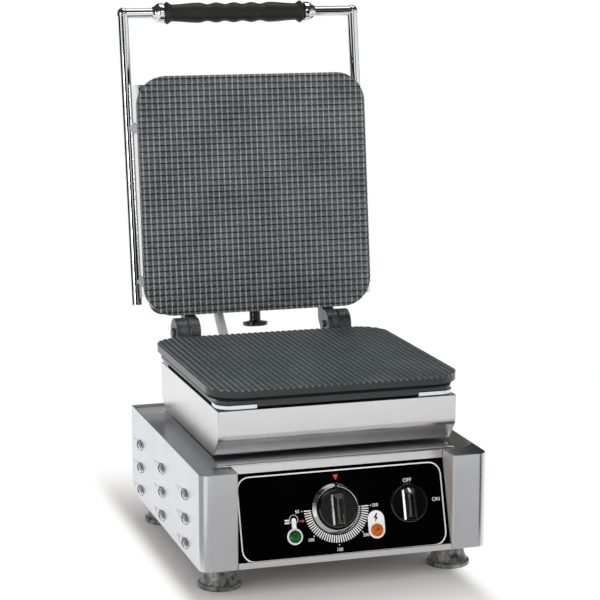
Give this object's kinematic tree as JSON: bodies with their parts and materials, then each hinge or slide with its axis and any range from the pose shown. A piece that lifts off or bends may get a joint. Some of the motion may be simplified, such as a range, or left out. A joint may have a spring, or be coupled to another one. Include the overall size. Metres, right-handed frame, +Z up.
{
  "type": "waffle cone maker",
  "caption": "Countertop electric iron for baking waffle cones: hinged grid plates over a louvred steel base with a sloping control panel and a loop handle.",
  "frame": {"origin": "on the counter, under the middle of the open machine's bounding box", "axes": "+X to the right of someone facing the control panel, +Y to the rear, +Z up"},
  "size_m": [0.3084, 0.4089, 0.5628],
  "materials": {
    "brushed_stainless": "brushed stainless sheet",
    "zinc_fasteners": "zinc-plated steel",
    "cast_feet": "cast, grey, mottled",
    "cast_iron_plate": "seasoned cast iron, waffle grid",
    "cast_iron_slab": "cast iron, ground edges",
    "black_casting": "black cast iron",
    "heater_sheath": "oxidised steel sheath",
    "mineral_wool": "mineral wool board",
    "copper_bulb": "copper",
    "chrome": "polished chrome plate",
    "black_grip": "moulded black phenolic",
    "black_knob": "moulded black plastic",
    "black_panel": "black printed sheet",
    "control_unit": "moulded plastic",
    "green_lens": "tinted translucent lens",
    "orange_lens": "tinted translucent lens",
    "terminal_porcelain": "glazed porcelain",
    "gland_plastic": "moulded nylon",
    "steel_conduit": "smooth steel tube"
  },
  "bodies": {
    "base": {"side_panel_left": "brushed_stainless", "side_panel_right": "brushed_stainless", "rear_panel": "brushed_stainless", "base_floor": "brushed_stainless", "hood": "brushed_stainless", "lower_casing": "brushed_stainless", "lower_corner_clips": "brushed_stainless", "rear_screws": "zinc_fasteners", "casing_spacers": "zinc_fasteners", "conduit_nut_lower": "zinc_fasteners", "hinge_pin_left": "zinc_fasteners", "hinge_pin_right": "zinc_fasteners", "sensor_clamp": "zinc_fasteners", "foot_front_left": "cast_feet", "foot_front_right": "cast_feet", "foot_rear_left": "cast_feet", "foot_rear_right": "cast_feet", "lower_plate": "cast_iron_plate", "lower_slab": "cast_iron_slab", "lower_lug_left": "black_casting", "lower_lug_right": "black_casting", "lower_heating_element": "heater_sheath", "lower_insulation": "mineral_wool", "sensor_bulb": "copper_bulb", "thermostat_bezel": "chrome", "control_panel": "black_panel", "thermostat_body": "control_unit", "switch_body": "control_unit", "green_lamp": "green_lens", "orange_lamp": "orange_lens", "terminal_block": "terminal_porcelain", "mains_gland": "gland_plastic", "heater_conduit": "steel_conduit"},
    "lid": {"upper_casing": "brushed_stainless", "upper_slab": "cast_iron_slab", "upper_plate": "cast_iron_plate", "upper_corner_clips": "brushed_stainless", "upper_heating_element": "heater_sheath", "upper_insulation": "mineral_wool", "lid_lug_left": "black_casting", "lid_lug_right": "black_casting", "handle_rod": "chrome", "handle_saddles": "chrome", "handle_bolts": "zinc_fasteners", "grip": "black_grip", "ferrule_left": "chrome", "ferrule_right": "chrome", "conduit_nut_upper": "zinc_fasteners", "lid_rest_foot": "chrome"},
    "thermostat_dial": {"thermostat_knob": "black_knob", "thermostat_shaft": "zinc_fasteners"},
    "switch_dial": {"switch_knob": "black_knob", "switch_shaft": "zinc_fasteners"}
  },
  "joints": [
    {"name": "lid_hinge", "type": "hinge", "parent": "base", "child": "lid", "pos_m": [0, 0.1006, 0.203], "axis": [1, 0, 0], "range_deg": [0, 97.2], "deforming": ["heater_conduit"]},
    {"name": "thermostat_turn", "type": "hinge", "parent": "base", "child": "thermostat_dial", "pos_m": [-0.006, -0.18521, 0.07474], "axis": [0, 0.9543, -0.2988], "range_deg": [0, 270]},
    {"name": "switch_turn", "type": "hinge", "parent": "base", "child": "switch_dial", "pos_m": [0.0695, -0.18557, 0.07359], "axis": [0, 0.9543, -0.2988], "range_deg": [0, 90]}
  ]
}
